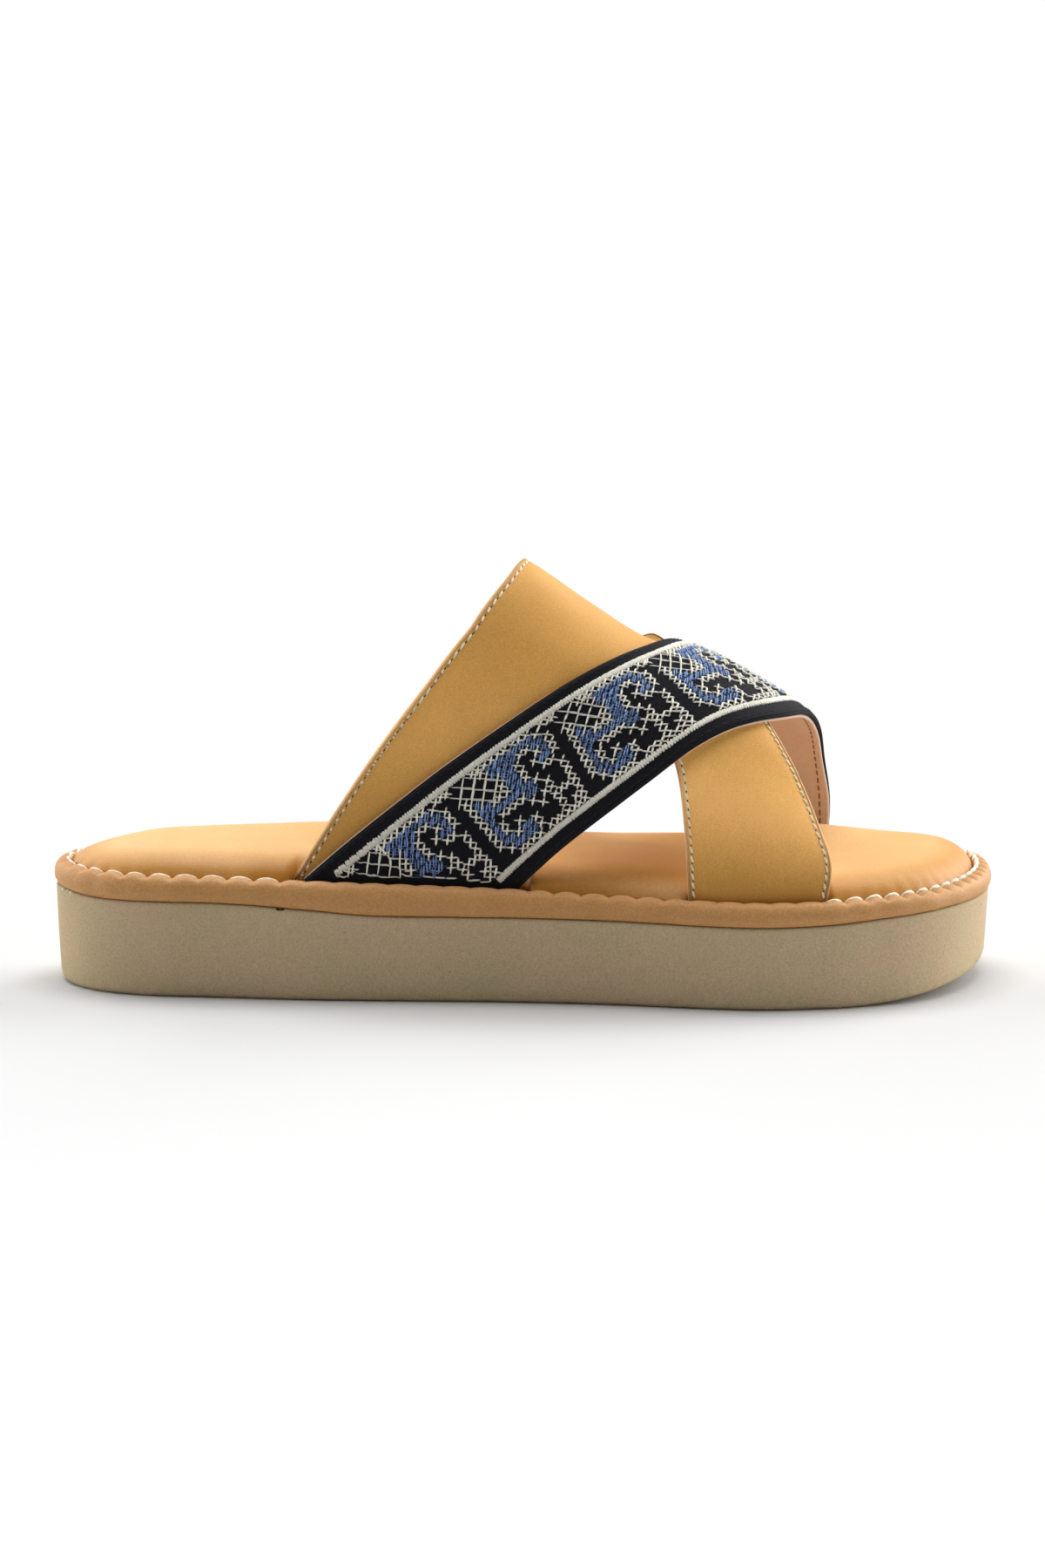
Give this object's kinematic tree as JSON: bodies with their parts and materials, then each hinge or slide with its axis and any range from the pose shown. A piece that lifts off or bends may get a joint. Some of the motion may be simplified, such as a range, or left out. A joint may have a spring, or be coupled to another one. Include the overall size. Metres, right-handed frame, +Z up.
{
  "type": "cross-strap platform slide sandal",
  "caption": "Slide sandal on a thick flat platform, with a stitched leather rim, a padded footbed and two straps that cross over the instep, one of leather and one embroidered.",
  "frame": {"origin": "on the floor, under the middle of the sandal's box", "axes": "+X from heel to toe, +Y from the outer to the inner side of the right foot, +Z up"},
  "size_m": [0.262, 0.099, 0.118],
  "materials": {
    "platform_foam": "matte, finely sanded",
    "rim_leather": "satin, soft",
    "footbed_leather": "satin, soft",
    "strap_leather": "nubuck with a low sheen",
    "embroidered_felt": "matte felt with cream and blue thread"
  },
  "bodies": {
    "root": {"platform_sole": "platform_foam", "leather_rim": "rim_leather", "footbed": "footbed_leather", "strap_upper": "strap_leather", "embroidered_band": "embroidered_felt"}
  },
  "joints": []
}
